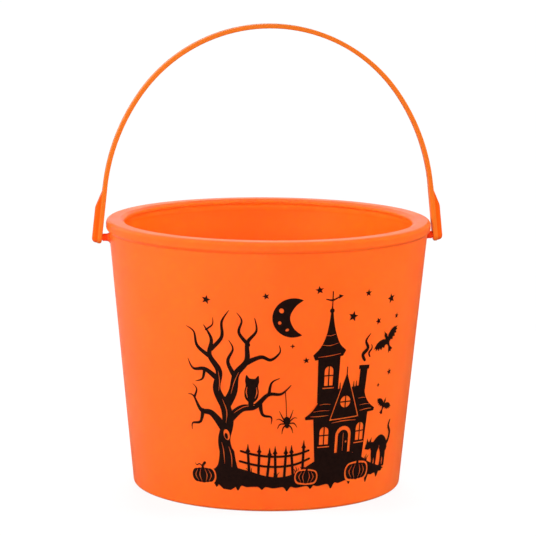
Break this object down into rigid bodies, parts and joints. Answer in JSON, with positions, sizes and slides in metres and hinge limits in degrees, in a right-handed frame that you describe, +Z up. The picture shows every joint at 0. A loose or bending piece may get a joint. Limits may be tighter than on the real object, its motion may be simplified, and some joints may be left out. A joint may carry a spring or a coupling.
{
  "type": "pail",
  "caption": "Round tapered plastic treat pail with an inward-turned rim and a strap handle that swings on side studs; dark holiday print on the front.",
  "frame": {"origin": "centre of the pail's bottom, on the surface it stands on", "axes": "+Z up along the pail's axis, X through the two studs that the handle swings on, -Y towards the printed front"},
  "size_m": [0.1794, 0.165, 0.2351],
  "materials": {
    "pail_plastic": "smooth semi-gloss orange polyethylene, moulded in colour",
    "bail_plastic": "smooth semi-gloss orange polyethylene, moulded in colour",
    "print_ink": "thin black screen print, slightly satin"
  },
  "bodies": {
    "pail_body": {"pail": "pail_plastic"},
    "bail_body": {"bail": "bail_plastic"}
  },
  "joints": [
    {"name": "bail_swing", "type": "hinge", "parent": "pail_body", "child": "bail_body", "pos_m": [0, 0, 0.1272], "axis": [1, 0, 0], "range_deg": [-134, 134]}
  ]
}
